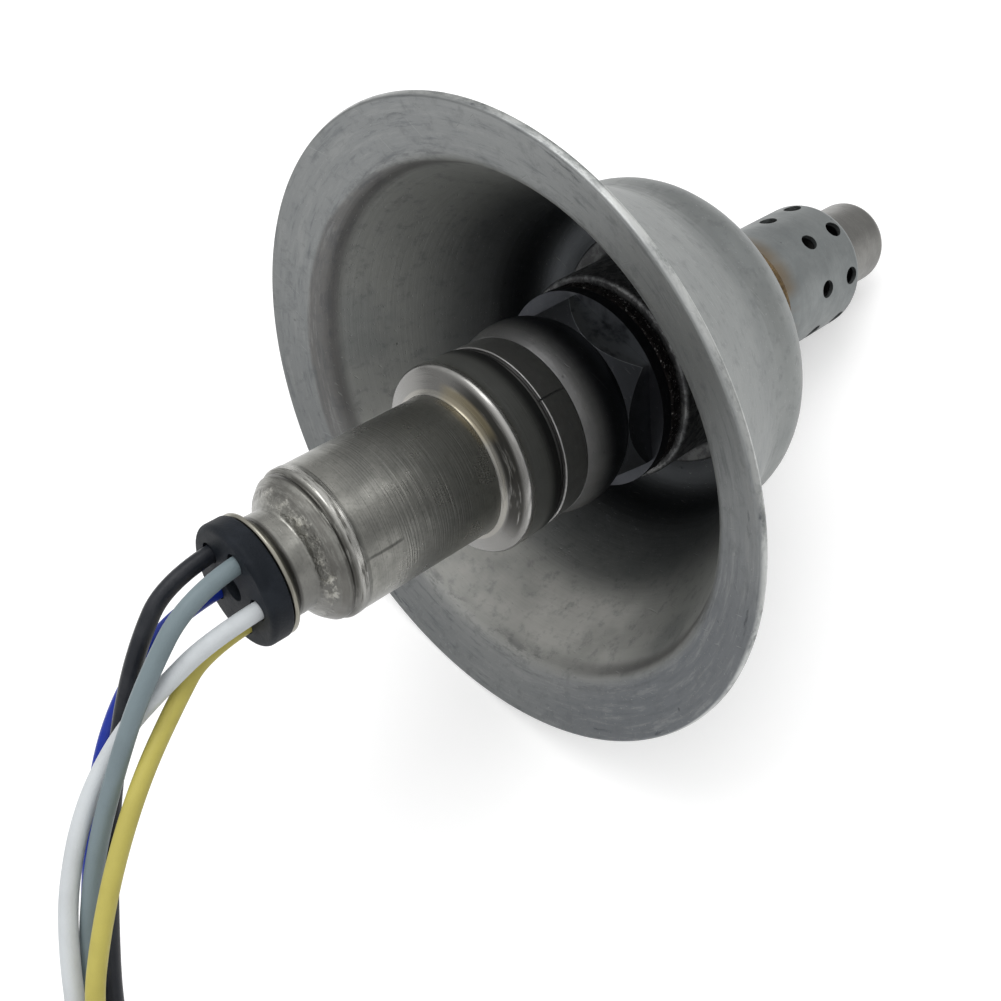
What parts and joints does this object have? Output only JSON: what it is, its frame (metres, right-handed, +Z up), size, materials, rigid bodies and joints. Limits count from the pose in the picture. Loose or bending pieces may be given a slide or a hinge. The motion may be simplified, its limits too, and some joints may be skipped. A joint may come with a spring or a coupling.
{
  "type": "oxygen sensor",
  "caption": "Exhaust oxygen sensor with a rubber grommet and coloured wires, screwed into the boss of a bell-shaped sheet shield that carries a perforated tube.",
  "frame": {"origin": "middle of the footprint of the sensor and its shield, without the free lead, on the surface it lies on", "axes": "+Z up as it lies, +X along the length towards the tip, the wires leave towards -X"},
  "size_m": [0.1645, 0.1675, 0.0732],
  "materials": {
    "shield_steel": "satin, lightly scuffed",
    "boss_steel": "machined",
    "weld_steel": "as welded",
    "gasket_steel": "rough, dark",
    "shell_steel": "machined",
    "casing_steel": "drawn, brushed",
    "seam_steel": "satin",
    "grommet_rubber": "matte",
    "vent_ptfe": "matte",
    "tube_steel": "satin",
    "tint_steel": "heat-tinted",
    "tip_steel": "satin",
    "element_ceramic": "matte",
    "body_ceramic": "matte",
    "talc": "pressed powder",
    "washer_steel": "plain",
    "clip_steel": "plain",
    "contact_alloy": "plain",
    "ferrule_brass": "plain",
    "wire_black": "smooth",
    "wire_gray": "smooth",
    "wire_white": "smooth",
    "wire_yellow": "smooth",
    "wire_blue": "smooth",
    "sleeve": "woven sleeve",
    "boot": "smooth",
    "connector": "moulded",
    "connector_seal": "matte",
    "connector_lock": "moulded",
    "terminal_brass": "tinned"
  },
  "bodies": {
    "root": {"bell_shield": "shield_steel", "threaded_boss": "boss_steel", "boss_weld": "weld_steel", "crush_gasket": "gasket_steel", "sensor_shell": "shell_steel", "seam_ring": "seam_steel", "casing": "casing_steel", "grommet": "grommet_rubber", "vent_filter": "vent_ptfe", "outer_protector": "tube_steel", "tube_weld": "tint_steel", "inner_protector": "tip_steel", "sensing_element": "element_ceramic", "element_holder": "body_ceramic", "talc_packing": "talc", "packing_washer": "washer_steel", "upper_insulator": "body_ceramic", "contact_holder": "body_ceramic", "holder_clip": "clip_steel", "contact_springs": "contact_alloy", "wire_ferrules": "ferrule_brass", "wire_black": "wire_black", "wire_gray": "wire_gray", "wire_white": "wire_white", "wire_yellow": "wire_yellow", "wire_blue": "wire_blue", "lead_sleeve": "sleeve", "sleeve_boot": "boot", "connector_body": "connector", "connector_seal": "connector_seal", "connector_lock": "connector_lock", "connector_terminals": "terminal_brass"}
  },
  "joints": []
}
